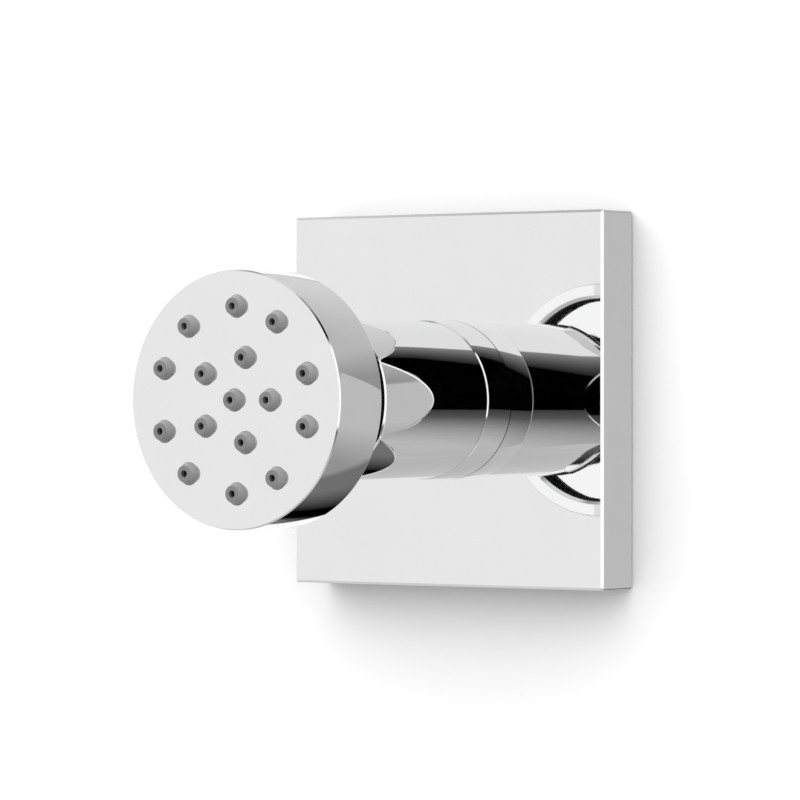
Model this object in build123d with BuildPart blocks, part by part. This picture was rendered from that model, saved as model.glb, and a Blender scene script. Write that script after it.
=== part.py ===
"""Shower body jet: square wall plate, base fitting, scalloped clamp sleeve with a
ball joint inside, and a round spray head with silicone nozzles.

Frame: +Z up, the jet sprays towards -Y.  The origin is on the jet's axis in the
wall plane; the plate stands from y = 0 to y = -plate_t and the threaded shank goes
into the wall towards +Y.  Axial positions are written as s, the distance in front
of the plate's polished front, so y = -(plate_t + s).  Millimetres throughout.
"""
import math
import os

from build123d import *

os.makedirs("parts", exist_ok=True)

# ---------------------------------------------------------------- driving sizes
# wall plate
plate_w = 60.0          # square side
plate_t = 8.7           # stand-off from the wall
plate_wall = 2.0        # shell thickness
plate_edge = 0.40       # chamfer of the visible edges
plate_hole_r = 10.40    # passage for the shank
gasket_w = 5.0          # width of the foam frame in the back

# base fitting
thread_r = 10.478       # G 1/2 major radius
thread_len = 14.0       # full thread in front of the end chamfer
body_r = 12.58          # sleeve
ring_r = 12.72          # front of the base ring, a little prouder than the sleeve
foot_r = 12.86          # foot of the base ring, which swells towards the plate
ring_h = 6.50           # base ring height in front of the plate
spigot_r = 10.20        # spigot that carries the sleeve
spigot_end = 16.0
inlet_r = 7.6           # inlet pocket for washer, screen and limiter
bore_r = 5.0            # waterway
hex_key_af = 10.0       # hexagon socket for fitting

# sleeve
joint_gap = 0.10        # joint line between base ring and sleeve
sleeve_bore_r = 10.25
sleeve_front = 33.95
mouth_r = 11.25         # threaded mouth that takes the collar
mouth_back = 28.2
petal_r2 = 16.4         # radius of a scallop's convex face
broad_tip = 21.42       # where a broad scallop starts, one on each side
broad_half = 6.02       # its half width at the sleeve's front
narrow_tip = 25.45      # where a narrow scallop starts, above and below each broad one
narrow_half = 5.41
narrow_at = 54.0        # angle between a broad scallop and a narrow one
rim_round = 0.40        # rounding of the sleeve's front rim

# ball joint
ball_s = 33.0           # ball centre
ball_r = 9.0
ball_fit = 0.05         # radial running clearance of the seats
neck_r = 5.0
stem_bore_r = 3.0
hex_af = 13.0
collar_r = 11.75
collar_front = 38.2

# spray head
head_r = 19.68
head_back = 45.4
face_s = 56.15          # polished face
face_t = 1.3
head_bore_r = 16.8
floor_s = 48.1          # recessed floor of the back
lip_r = 17.67           # inner edge of the flat rear lip
head_crown = 0.13       # the side swells this much at half depth
nozzle_h = 1.27
nozzle_base_r = 1.74
nozzle_tip_r = 1.26
orifice_r = 0.56
inner_ring_r = 6.75
outer_ring_r = 14.17
outer_step = 16.25      # outer nozzles stand in pairs, this angle either side of an inner one


def Y(s):
    """y of a point s in front of the plate's polished face."""
    return -(plate_t + s)


def facing(s):
    """Plane across the axis at s: local x is +X, local y is +Z, local z sprays out."""
    return Plane(origin=(0, Y(s), 0), x_dir=(1, 0, 0), z_dir=(0, -1, 0))


# ---------------------------------------------------------------- wall plate
with BuildPart() as wall_plate:
    with BuildSketch(facing(-plate_t)):
        Rectangle(plate_w, plate_w)
    extrude(amount=plate_t)
    corner_edges = wall_plate.edges().filter_by(Axis.Y)
    fillet(corner_edges, radius=plate_edge)
    front_edges = wall_plate.faces().sort_by(Axis.Y)[0].edges()
    chamfer(front_edges, length=plate_edge)
    # hollow back with a thicker land round the hole
    with BuildSketch(facing(-plate_t)):
        RectangleRounded(plate_w - 2 * plate_wall, plate_w - 2 * plate_wall, 1.0)
        Circle(13.5, mode=Mode.SUBTRACT)
    extrude(amount=plate_t - plate_wall, mode=Mode.SUBTRACT)
    with BuildSketch(facing(-plate_t)):
        Circle(13.6)
    extrude(amount=4.2, mode=Mode.SUBTRACT)
    with BuildSketch(facing(-plate_t)):
        Circle(plate_hole_r)
    extrude(amount=plate_t, mode=Mode.SUBTRACT)
wall_plate.part.label = "wall_plate"
export_step(wall_plate.part, "parts/wall_plate.step")

gasket_out = plate_w - 2 * plate_wall - 0.3
with BuildPart() as plate_gasket:
    with BuildSketch(facing(-plate_t + 0.05)):
        RectangleRounded(gasket_out, gasket_out, 1.0)
        RectangleRounded(gasket_out - 2 * gasket_w, gasket_out - 2 * gasket_w, 1.5,
                         mode=Mode.SUBTRACT)
    extrude(amount=plate_t - plate_wall - 0.1)
plate_gasket.part.label = "plate_gasket"
export_step(plate_gasket.part, "parts/plate_gasket.step")

# ---------------------------------------------------------------- base fitting
with BuildPart() as base_fitting:
    with BuildSketch(Plane.XY):
        with BuildLine():
            Polyline(
                (bore_r, Y(spigot_end)),
                (spigot_r - 0.5, Y(spigot_end)),
                (spigot_r, Y(spigot_end - 0.5)),
                (spigot_r, Y(14.4)),
                (8.75, Y(14.4)),
                (8.75, Y(12.6)),
                (spigot_r, Y(12.6)),
                (spigot_r, Y(ring_h)),
                (ring_r - 0.17, Y(ring_h)),
                (ring_r, Y(ring_h - 0.17)),
                (foot_r - 0.08, Y(4.6)),
                (foot_r - 0.03, Y(2.6)),
                (foot_r, Y(0.10)),
                (foot_r - 0.25, Y(0.10)),
                (foot_r - 0.25, Y(0)),
                (11.95, Y(0)),
                (11.95, Y(0.75)),
                (10.85, Y(0.75)),
                (10.85, Y(0)),
                (plate_hole_r - 0.1, Y(0)),
                (plate_hole_r - 0.1, -3.0),
                (9.2, -2.4),
                (9.2, -0.6),
                (thread_r, 0),
                (thread_r, thread_len),
                (thread_r - 1.0, thread_len + 1.0),
                (inlet_r + 0.4, thread_len + 1.0),
                (inlet_r, thread_len + 0.6),
                (inlet_r, 1.5),
                (bore_r, 1.5),
                close=True,
            )
        make_face()
    revolve(axis=Axis.Y)
    # hexagon socket in the spigot, for screwing the fitting into the wall
    with BuildSketch(facing(spigot_end - 8.0)):
        RegularPolygon(hex_key_af / 2, 6, major_radius=False)
    extrude(amount=8.0, mode=Mode.SUBTRACT)
base_fitting.part.label = "base_fitting"
export_step(base_fitting.part, "parts/base_fitting.step")

with BuildPart() as plate_o_ring:
    with BuildSketch(Plane.XY):
        with Locations((11.4, Y(0.37))):
            Circle(0.36)
    revolve(axis=Axis.Y)
plate_o_ring.part.label = "plate_o_ring"
export_step(plate_o_ring.part, "parts/plate_o_ring.step")

# ---------------------------------------------------------------- inlet inserts
with BuildPart() as flow_regulator:
    with BuildSketch(Plane.XY):
        with BuildLine():
            Polyline(
                (0, 1.55), (inlet_r - 0.1, 1.55), (inlet_r - 0.1, 5.2),
                (inlet_r - 0.5, 5.6), (5.7, 5.6), (5.7, 3.6), (2.9, 3.6),
                (2.9, 5.0), (2.3, 5.6), (0, 5.6), close=True,
            )
        make_face()
    revolve(axis=Axis.Y)
    # metering ports under the elastic ring
    with BuildSketch(Plane(origin=(0, 1.55, 0), x_dir=(1, 0, 0), z_dir=(0, 1, 0))):
        with PolarLocations(4.0, 8):
            Circle(0.75)
    extrude(amount=4.0, mode=Mode.SUBTRACT)
flow_regulator.part.label = "flow_regulator"
export_step(flow_regulator.part, "parts/flow_regulator.step")

with BuildPart() as regulator_o_ring:
    with BuildSketch(Plane.XY):
        with Locations((4.3, 4.62)):
            Circle(0.95)
    revolve(axis=Axis.Y)
regulator_o_ring.part.label = "regulator_o_ring"
export_step(regulator_o_ring.part, "parts/regulator_o_ring.step")

screen_plane = Plane(origin=(0, 5.9, 0), x_dir=(1, 0, 0), z_dir=(0, 1, 0))
with BuildPart() as strainer_screen:
    with BuildSketch(screen_plane):
        Circle(inlet_r - 0.2)
        with HexLocations(0.74, 9, 9):
            Circle(0.48, mode=Mode.SUBTRACT)
        with BuildSketch(screen_plane, mode=Mode.PRIVATE) as screen_rim:
            Circle(inlet_r - 0.2)
            Circle(5.4, mode=Mode.SUBTRACT)
        add(screen_rim.sketch)
    extrude(amount=0.5)
strainer_screen.part.label = "strainer_screen"
export_step(strainer_screen.part, "parts/strainer_screen.step")

with BuildPart() as inlet_washer:
    with BuildSketch(Plane.XY):
        with BuildLine():
            Polyline((5.2, 6.45), (inlet_r - 0.05, 6.45), (inlet_r - 0.05, 8.7),
                     (inlet_r - 0.35, 9.0), (5.5, 9.0), (5.2, 8.7), close=True)
        make_face()
    revolve(axis=Axis.Y)
inlet_washer.part.label = "inlet_washer"
export_step(inlet_washer.part, "parts/inlet_washer.step")

# ---------------------------------------------------------------- spigot end stack
with BuildPart() as sleeve_o_ring:
    with BuildSketch(Plane.XY):
        with Locations((9.47, Y(13.5))):
            Circle(0.71)
    revolve(axis=Axis.Y)
sleeve_o_ring.part.label = "sleeve_o_ring"
export_step(sleeve_o_ring.part, "parts/sleeve_o_ring.step")

with BuildPart() as thrust_washer:
    with BuildSketch(Plane.XY):
        with BuildLine():
            Polyline((6.2, Y(16.02)), (10.0, Y(16.02)), (10.0, Y(16.95)),
                     (6.2, Y(16.95)), close=True)
        make_face()
    revolve(axis=Axis.Y)
thrust_washer.part.label = "thrust_washer"
export_step(thrust_washer.part, "parts/thrust_washer.step")

with BuildPart() as disc_spring:
    with BuildSketch(Plane.XY):
        with BuildLine():
            Polyline((9.9, Y(16.98)), (9.9, Y(17.78)), (6.5, Y(19.2)),
                     (6.5, Y(18.4)), close=True)
        make_face()
    revolve(axis=Axis.Y)
disc_spring.part.label = "disc_spring"
export_step(disc_spring.part, "parts/disc_spring.step")

# ---------------------------------------------------------------- clamp sleeve
sleeve_back = ring_h + joint_gap


def scallop(tip, half):
    """What is cut away for a scallop on +X.  A wider cylinder, tilted inwards, cuts the
    sleeve there: the outline is a parabola that starts at the tip and is widest at the front."""
    slope = half ** 2 * (1 / body_r - 1 / petal_r2) / (2 * (sleeve_front - tip))
    tilt = math.atan(slope)
    tip_axis = Plane(origin=(body_r - petal_r2, Y(tip), 0), x_dir=(1, 0, 0),
                     z_dir=(-math.sin(tilt), -math.cos(tilt), 0))
    # the form that stays: the tilted cylinder, cut off at the sleeve's front and rounded there
    with BuildPart() as form:
        with BuildSketch(tip_axis):
            Circle(petal_r2)
        extrude(amount=40.0, both=True)
        split(bisect_by=facing(sleeve_front), keep=Keep.BOTTOM)
        fillet(form.faces().sort_by(Axis.Y)[0].edges(), radius=rim_round)
    with BuildPart() as cutter:
        with BuildSketch(facing(tip - 8.0)):
            with Locations((13.0, 0)):
                Rectangle(8.0, 2 * half + 0.24)
        extrude(amount=sleeve_front - tip + 12.0)
        add(form.part, mode=Mode.SUBTRACT)
    return cutter.part


broad, narrow = scallop(broad_tip, broad_half), scallop(narrow_tip, narrow_half)

with BuildPart() as swivel_sleeve:
    with BuildSketch(Plane.XY):
        with BuildLine():
            Polyline(
                (sleeve_bore_r + 0.3, Y(sleeve_back)),
                (body_r - 0.17, Y(sleeve_back)),
                (body_r, Y(sleeve_back + 0.17)),
                (body_r, Y(sleeve_front)),
                (mouth_r, Y(sleeve_front)),
                (mouth_r, Y(mouth_back)),
                (sleeve_bore_r, Y(mouth_back)),
                (sleeve_bore_r, Y(sleeve_back + 0.3)),
                close=True,
            )
        make_face()
    revolve(axis=Axis.Y)
    rim_edge = swivel_sleeve.edges().filter_by(GeomType.CIRCLE).filter_by(
        lambda e: abs(e.radius - body_r) < 1e-4).sort_by(Axis.Y)[0]
    fillet(rim_edge, radius=rim_round)
    for side in (0, 180):
        add(broad.rotate(Axis.Y, side), mode=Mode.SUBTRACT)
        for turn in (-narrow_at, narrow_at):
            add(narrow.rotate(Axis.Y, side + turn), mode=Mode.SUBTRACT)
swivel_sleeve.part.label = "swivel_sleeve"
export_step(swivel_sleeve.part, "parts/swivel_sleeve.step")

# ---------------------------------------------------------------- ball seats, collar
seat_r = ball_r + ball_fit
rear_bore = 5.5
rear_front = 28.0
seal_a = math.radians(47.0)
seal_d = ball_r + 0.79
seal_at = (seal_d * math.sin(seal_a), Y(ball_s - seal_d * math.cos(seal_a)))

with BuildPart() as rear_ball_seat:
    with BuildSketch(Plane.XY):
        with BuildLine():
            Polyline(
                (rear_bore, Y(19.6)),
                (9.9, Y(19.6)), (10.18, Y(19.9)),
                (10.18, Y(21.2)), (8.75, Y(21.2)), (8.75, Y(23.0)), (10.18, Y(23.0)),
                (10.18, Y(rear_front)),
                (6.0, Y(rear_front)),
                (rear_bore, Y(rear_front)),
                close=True,
            )
        make_face()
        with Locations((0, Y(ball_s))):
            Circle(seat_r, mode=Mode.SUBTRACT)
        with Locations(seal_at):
            Circle(0.80, mode=Mode.SUBTRACT)
    revolve(axis=Axis.Y)
rear_ball_seat.part.label = "rear_ball_seat"
export_step(rear_ball_seat.part, "parts/rear_ball_seat.step")

with BuildPart() as seat_o_ring:
    with BuildSketch(Plane.XY):
        with Locations((9.47, Y(22.1))):
            Circle(0.71)
    revolve(axis=Axis.Y)
seat_o_ring.part.label = "seat_o_ring"
export_step(seat_o_ring.part, "parts/seat_o_ring.step")

with BuildPart() as ball_seal:
    with BuildSketch(Plane.XY):
        with Locations(seal_at):
            Circle(0.75)
    revolve(axis=Axis.Y)
ball_seal.part.label = "ball_seal"
export_step(ball_seal.part, "parts/ball_seal.step")

pocket_r = 10.0
pocket_end = 36.2
lip_ball_r = ball_r + 0.3
lip_end = 38.0


def on_sphere(radius, s):
    """Distance from the axis of a sphere about the ball's centre, at s."""
    return math.sqrt(radius ** 2 - (s - ball_s) ** 2)


with BuildPart() as retaining_collar:
    with BuildSketch(Plane.XY):
        with BuildLine():
            mid_s = (pocket_end + lip_end) / 2
            Polyline(
                (on_sphere(lip_ball_r, pocket_end), Y(pocket_end)),
                (pocket_r, Y(pocket_end)),
                (pocket_r, Y(28.6)),
                (mouth_r - 0.25, Y(28.6)),
                (mouth_r - 0.05, Y(28.8)),
                (mouth_r - 0.05, Y(33.2)),
                (10.85, Y(33.5)),
                (10.85, Y(34.4)),
                (collar_r - 0.15, Y(34.4)),
                (collar_r, Y(34.55)),
                (collar_r, Y(collar_front - 0.55)),
            )
            RadiusArc((collar_r, Y(collar_front - 0.55)),
                      (collar_r - 0.55, Y(collar_front)), 0.55)
            Polyline(
                (collar_r - 0.55, Y(collar_front)),
                (on_sphere(lip_ball_r, lip_end) + 0.2, Y(collar_front)),
                (on_sphere(lip_ball_r, lip_end), Y(lip_end)),
            )
            ThreePointArc(
                (on_sphere(lip_ball_r, lip_end), Y(lip_end)),
                (on_sphere(lip_ball_r, mid_s), Y(mid_s)),
                (on_sphere(lip_ball_r, pocket_end), Y(pocket_end)),
            )
        make_face()
    revolve(axis=Axis.Y)
retaining_collar.part.label = "retaining_collar"
export_step(retaining_collar.part, "parts/retaining_collar.step")

with BuildPart() as front_ball_seat:
    with BuildSketch(Plane.XY):
        with BuildLine():
            Polyline((7.0, Y(32.4)), (pocket_r - 0.02, Y(32.4)),
                     (pocket_r - 0.02, Y(pocket_end - 0.02)),
                     (7.0, Y(pocket_end - 0.02)), close=True)
        make_face()
        with Locations((0, Y(ball_s))):
            Circle(seat_r, mode=Mode.SUBTRACT)
    revolve(axis=Axis.Y)
front_ball_seat.part.label = "front_ball_seat"
export_step(front_ball_seat.part, "parts/front_ball_seat.step")

# ---------------------------------------------------------------- ball and stem
tail_r = 3.6
tail_s = ball_s - math.sqrt(ball_r ** 2 - tail_r ** 2)
neck_s = ball_s + math.sqrt(ball_r ** 2 - neck_r ** 2)
hex_s0, hex_s1 = 44.3, 46.3
stem_r, stem_end = 4.80, 51.2

with BuildPart() as ball_stem:
    with BuildSketch(Plane.XY):
        with BuildLine():
            Polyline((stem_bore_r, Y(stem_end)), (stem_bore_r, Y(tail_s + 0.6)),
                     (tail_r, Y(tail_s)))
            ThreePointArc((tail_r, Y(tail_s)), (ball_r, Y(ball_s)), (neck_r, Y(neck_s)))
            Polyline(
                (neck_r, Y(neck_s)),
                (neck_r, Y(hex_s1)),
                (stem_r, Y(hex_s1)),
                (stem_r, Y(stem_end - 0.5)),
                (stem_r - 0.5, Y(stem_end)),
                (stem_bore_r, Y(stem_end)),
            )
        make_face()
    revolve(axis=Axis.Y)
    with BuildSketch(facing(hex_s0)):
        RegularPolygon(hex_af / 2, 6, major_radius=False)
        Circle(neck_r - 0.5, mode=Mode.SUBTRACT)
    extrude(amount=hex_s1 - hex_s0)
    neck_edge = ball_stem.edges().filter_by(GeomType.CIRCLE).filter_by_position(
        Axis.Y, Y(neck_s) - 0.01, Y(neck_s) + 0.01)
    fillet(neck_edge, radius=0.8)
ball_stem.part.label = "ball_stem"
export_step(ball_stem.part, "parts/ball_stem.step")

# ---------------------------------------------------------------- spray head
face_in = face_s - face_t
mat_s = face_in - 1.0
plate_s = mat_s - 0.8


def ring_spots(radius, degrees):
    """Points on a ring about the axis at the given angles."""
    return [(radius * math.cos(math.radians(a)), radius * math.sin(math.radians(a))) for a in degrees]


nozzle_spots = [(0.0, 0.0)]
nozzle_spots += ring_spots(inner_ring_r, [72 * k for k in range(5)])
nozzle_spots += ring_spots(outer_ring_r, [72 * k + d for k in range(5) for d in (-outer_step, outer_step)])

with BuildPart() as spray_head:
    with BuildSketch(Plane.XY):
        with BuildLine():
            ThreePointArc((head_r, Y(face_s)),
                          (head_r + head_crown, Y((face_s + head_back) / 2)),
                          (head_r, Y(head_back)))
            Polyline(
                (head_r, Y(head_back)),
                (lip_r, Y(head_back)), (lip_r - 0.5, Y(head_back + 0.5)),
                (head_bore_r, Y(floor_s)), (head_bore_r, Y(face_in)), (0, Y(face_in)),
                (0, Y(face_s)), (head_r, Y(face_s)),
            )
        make_face()
    revolve(axis=Axis.Y)
    rim = spray_head.edges().filter_by(GeomType.CIRCLE).filter_by(
        lambda e: abs(e.radius - head_r) < 1e-4)
    chamfer(rim.sort_by(Axis.Y)[0], length=0.20)
    fillet(rim.sort_by(Axis.Y)[-1], radius=0.25)
    with BuildSketch(facing(face_in - 0.1)):
        with Locations(*nozzle_spots):
            Circle(nozzle_base_r + 0.05)
    extrude(amount=face_t + 0.2, mode=Mode.SUBTRACT)
spray_head.part.label = "spray_head"
export_step(spray_head.part, "parts/spray_head.step")

with BuildPart(facing(mat_s)) as nozzle_mat:
    Cylinder(head_bore_r - 0.1, 0.98, align=(Align.CENTER, Align.CENTER, Align.MIN))
    root = face_s - mat_s
    with Locations(*[(x, z, 0) for x, z in nozzle_spots]):
        Cylinder(nozzle_base_r, root, align=(Align.CENTER, Align.CENTER, Align.MIN))
    with Locations(*[(x, z, root) for x, z in nozzle_spots]):
        Cone(nozzle_base_r, nozzle_tip_r, nozzle_h,
             align=(Align.CENTER, Align.CENTER, Align.MIN))
    tips = nozzle_mat.edges().filter_by(GeomType.CIRCLE).filter_by_position(
        Axis.Y, Y(face_s + nozzle_h) - 0.01, Y(face_s + nozzle_h) + 0.01)
    fillet(tips, radius=0.2)
    with Locations(*[(x, z, -0.02) for x, z in nozzle_spots]):
        Cone(1.15, orifice_r + 0.05, root + 0.6, mode=Mode.SUBTRACT,
             align=(Align.CENTER, Align.CENTER, Align.MIN))
    with Locations(*[(x, z, root) for x, z in nozzle_spots]):
        Cylinder(orifice_r, nozzle_h + 0.5, mode=Mode.SUBTRACT,
                 align=(Align.CENTER, Align.CENTER, Align.MIN))
nozzle_mat.part.label = "nozzle_mat"
export_step(nozzle_mat.part, "parts/nozzle_mat.step")

with BuildPart() as flow_plate:
    with BuildSketch(facing(plate_s + 0.02)):
        Circle(head_bore_r - 0.1)
        Circle(0.7, mode=Mode.SUBTRACT)
        with PolarLocations(inner_ring_r, 10, start_angle=18):
            Circle(0.8, mode=Mode.SUBTRACT)
        with PolarLocations(10.8, 15, start_angle=0):
            Circle(0.8, mode=Mode.SUBTRACT)
        with PolarLocations(outer_ring_r - 0.9, 20, start_angle=9):
            Circle(0.8, mode=Mode.SUBTRACT)
    extrude(amount=0.76)
flow_plate.part.label = "flow_plate"
export_step(flow_plate.part, "parts/flow_plate.step")

cover_r = head_bore_r - 0.02
with BuildPart() as back_cover:
    with BuildSketch(Plane.XY):
        with BuildLine():
            Polyline(
                (stem_r + 0.05, Y(47.0)),
                (7.3, Y(47.0)), (7.6, Y(47.3)), (7.6, Y(floor_s - 0.3)), (7.9, Y(floor_s)),
                (cover_r, Y(floor_s)),
                (cover_r, Y(50.9)), (15.4, Y(50.9)), (15.4, Y(52.4)), (cover_r, Y(52.4)),
                (cover_r, Y(plate_s)),
                (14.2, Y(plate_s)), (14.2, Y(51.6)),
                (stem_r + 0.05, Y(51.6)),
                close=True,
            )
        make_face()
    revolve(axis=Axis.Y)
    # two blind holes for a pin spanner
    with BuildSketch(facing(floor_s)):
        with PolarLocations(11.6, 2):
            Circle(1.0)
    extrude(amount=1.0, mode=Mode.SUBTRACT)
back_cover.part.label = "back_cover"
export_step(back_cover.part, "parts/back_cover.step")

with BuildPart() as cover_o_ring:
    with BuildSketch(Plane.XY):
        with Locations((16.1, Y(51.65))):
            Circle(0.67)
    revolve(axis=Axis.Y)
cover_o_ring.part.label = "cover_o_ring"
export_step(cover_o_ring.part, "parts/cover_o_ring.step")

with BuildPart() as stem_washer:
    with BuildSketch(Plane.XY):
        with BuildLine():
            Polyline((stem_r + 0.1, Y(46.45)), (6.3, Y(46.45)), (6.3, Y(46.98)),
                     (stem_r + 0.1, Y(46.98)), close=True)
        make_face()
    revolve(axis=Axis.Y)
stem_washer.part.label = "stem_washer"
export_step(stem_washer.part, "parts/stem_washer.step")
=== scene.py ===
import math

import bpy
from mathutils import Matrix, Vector
from mathutils.geometry import delaunay_2d_cdt

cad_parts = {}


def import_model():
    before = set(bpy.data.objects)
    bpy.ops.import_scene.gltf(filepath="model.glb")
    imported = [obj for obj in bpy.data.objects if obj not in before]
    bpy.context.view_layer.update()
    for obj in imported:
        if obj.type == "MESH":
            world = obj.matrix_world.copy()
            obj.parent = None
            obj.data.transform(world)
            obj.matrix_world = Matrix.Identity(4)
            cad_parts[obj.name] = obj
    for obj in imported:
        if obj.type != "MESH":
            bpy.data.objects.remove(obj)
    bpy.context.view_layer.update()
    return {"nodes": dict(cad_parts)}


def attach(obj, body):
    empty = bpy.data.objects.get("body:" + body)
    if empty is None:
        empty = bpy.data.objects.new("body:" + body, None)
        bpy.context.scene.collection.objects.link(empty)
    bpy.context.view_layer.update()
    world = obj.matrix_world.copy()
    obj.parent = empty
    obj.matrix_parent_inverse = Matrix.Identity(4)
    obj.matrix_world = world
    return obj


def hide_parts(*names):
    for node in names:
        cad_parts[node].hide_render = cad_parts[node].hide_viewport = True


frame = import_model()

scene = bpy.context.scene
MM = 0.001

# ------------------------------------------------------------------ sizes (mm), as in the CAD model
PLATE_W, PLATE_T, PLATE_WALL, PLATE_EDGE, PLATE_HOLE = 60.0, 8.7, 2.0, 0.40, 10.40
THREAD_R, THREAD_LEN = 10.478, 14.0
BODY_R, RING_R, FOOT_R, RING_H, SPIGOT_R, SPIGOT_END = 12.58, 12.72, 12.86, 6.50, 10.20, 16.0
INLET_R, BORE_R, HEX_KEY = 7.6, 5.0, 10.0
SLEEVE_BACK, SLEEVE_BORE, SLEEVE_FRONT, MOUTH_R, MOUTH_BACK = 6.60, 10.25, 33.95, 11.25, 28.2
PETAL_R2, RIM = 15.8, 0.40
# scallops, broad and narrow: where one starts, and how its half width h grows: h * h = a * d - b * d * d
BROAD, NARROW = (21.42, 3.20, 0.035), (25.45, 3.85, 0.055)
# the scallops round the sleeve: middle, kind, and the angles from the middle to where the next one's part begins
PETALS = [(0.0, BROAD, 28.8, 28.8), (54.0, NARROW, 25.2, 36.0), (126.0, NARROW, 36.0, 25.2),
          (180.0, BROAD, 28.8, 28.8), (234.0, NARROW, 25.2, 36.0), (306.0, NARROW, 36.0, 25.2)]
BALL_S, BALL_R, NECK_R, STEM_BORE, HEX_AF = 33.0, 9.0, 5.0, 3.0, 13.0
COLLAR_R, COLLAR_FRONT = 11.75, 38.2
HEAD_R, HEAD_BACK, FACE_S, FACE_T, HEAD_BORE = 19.68, 45.4, 56.15, 1.3, 16.8
FLOOR_S, LIP_R, HEAD_CROWN = 48.1, 17.67, 0.13
NOZZLE_R, INNER_RING, OUTER_RING, OUTER_STEP = 1.74, 6.75, 14.17, 16.25


def Y(s):
    """y of a point s in front of the plate's polished face."""
    return -(PLATE_T + s)


# ------------------------------------------------------------------ camera, as the photograph sees it
AZ = math.radians(35.06)
CAM_D, CAM_T, FOCAL = 740.1, -7.275, 4600.0
back = Vector((math.sin(AZ), -math.cos(AZ), 0))
right = Vector((math.cos(AZ), math.sin(AZ), 0))
cam_data = bpy.data.cameras.new("camera")
cam_data.sensor_fit = "HORIZONTAL"
cam_data.sensor_width = 36.0
cam_data.lens = 36.0 * FOCAL / 800.0
cam_data.clip_start, cam_data.clip_end = 0.02, 30.0
cam = bpy.data.objects.new("camera", cam_data)
cam.location = (Vector((0, -PLATE_T, 0)) + back * CAM_D + right * CAM_T) * MM
cam.rotation_euler = (math.radians(90), 0, AZ)
scene.collection.objects.link(cam)
scene.camera = cam


# ------------------------------------------------------------------ mesh helpers
def profile(points, step=11.0):
    """Closed outline in the (radius, y) half plane, counter-clockwise, each point with an
    optional corner radius. Returns edges (p, normal at p, q, normal at q)."""
    n = len(points)
    corners = []
    for i, item in enumerate(points):
        p = Vector(item[:2])
        f = item[2] if len(item) > 2 else 0.0
        d0 = (p - Vector(points[i - 1][:2])).normalized()
        d1 = (Vector(points[(i + 1) % n][:2]) - p).normalized()
        turn = math.atan2(d0.x * d1.y - d0.y * d1.x, d0.dot(d1))
        if f <= 0 or abs(turn) < 1e-6:
            corners.append([(p, None)])
            continue
        sign = 1.0 if turn > 0 else -1.0
        q0 = p - d0 * (f * math.tan(abs(turn) / 2))
        n0 = Vector((d0.y, -d0.x))
        c = q0 - n0 * (f * sign)
        k = max(3, math.ceil(math.degrees(abs(turn)) / step))
        arc = []
        for j in range(k + 1):
            t = turn * j / k
            nj = Vector((n0.x * math.cos(t) - n0.y * math.sin(t),
                         n0.x * math.sin(t) + n0.y * math.cos(t)))
            arc.append((c + nj * (f * sign), nj))
        corners.append(arc)
    edges = []
    for i in range(n):
        arc = corners[i]
        for (p, np_), (q, nq) in zip(arc, arc[1:]):
            edges.append((p, np_, q, nq))
        p, q = arc[-1][0], corners[(i + 1) % n][0][0]
        d = (q - p)
        if d.length > 1e-7:
            d.normalize()
            nn = Vector((d.y, -d.x))
            edges.append((p, nn, q, nn))
    return edges


def make_object(name, verts, faces, normals, mats, mat_index=None):
    """Mesh object from vertices in mm, faces and one normal for each face corner."""
    me = bpy.data.meshes.new(name)
    me.from_pydata([(v[0] * MM, v[1] * MM, v[2] * MM) for v in verts], [], faces)
    for m in mats:
        me.materials.append(m)
    if mat_index is not None:
        me.polygons.foreach_set("material_index", mat_index)
    me.polygons.foreach_set("use_smooth", [True] * len(me.polygons))
    me.update()
    if normals is not None:
        me.normals_split_custom_set([tuple(n) for n in normals])
    ob = bpy.data.objects.new(name, me)
    scene.collection.objects.link(ob)
    return ob


def lathe(name, edges, mats, seg=192, pick=None, rows=None):
    """Body of revolution about the y axis with exact normals. rows(k, j, angle, point) may
    give another radius for a row's vertex, and then its faces are shaded by their shape."""
    m = len(edges)
    ang = [2 * math.pi * j / seg for j in range(seg)]
    cs = [(math.cos(a), math.sin(a)) for a in ang]
    verts, special = [], [False] * m
    for k, e in enumerate(edges):
        for j in range(seg):
            r = e[0].x
            if rows is not None:
                rr = rows(k, j, ang[j], e[0])
                if rr is not None:
                    r, special[k] = rr, True
            verts.append((r * cs[j][0], e[0].y, r * cs[j][1]))
    faces, normals, index = [], [], []
    for k, e in enumerate(edges):
        k2 = (k + 1) % m
        shaped = special[k] or special[k2]
        for j in range(seg):
            j2 = (j + 1) % seg
            f = (k * seg + j, k2 * seg + j, k2 * seg + j2, k * seg + j2)
            faces.append(f)
            if pick is not None:
                index.append(pick(e))
            if shaped:
                a, b, c, d = (Vector(verts[i]) for i in f)
                fn = (c - a).cross(d - b).normalized()
                normals += [fn, fn, fn, fn]
            else:
                for nn, jj in ((e[1], j), (e[3], j), (e[3], j2), (e[1], j2)):
                    normals.append((nn.x * cs[jj][0], nn.y, nn.x * cs[jj][1]))
    return make_object(name, verts, faces, normals, mats, index if pick else None)


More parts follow.
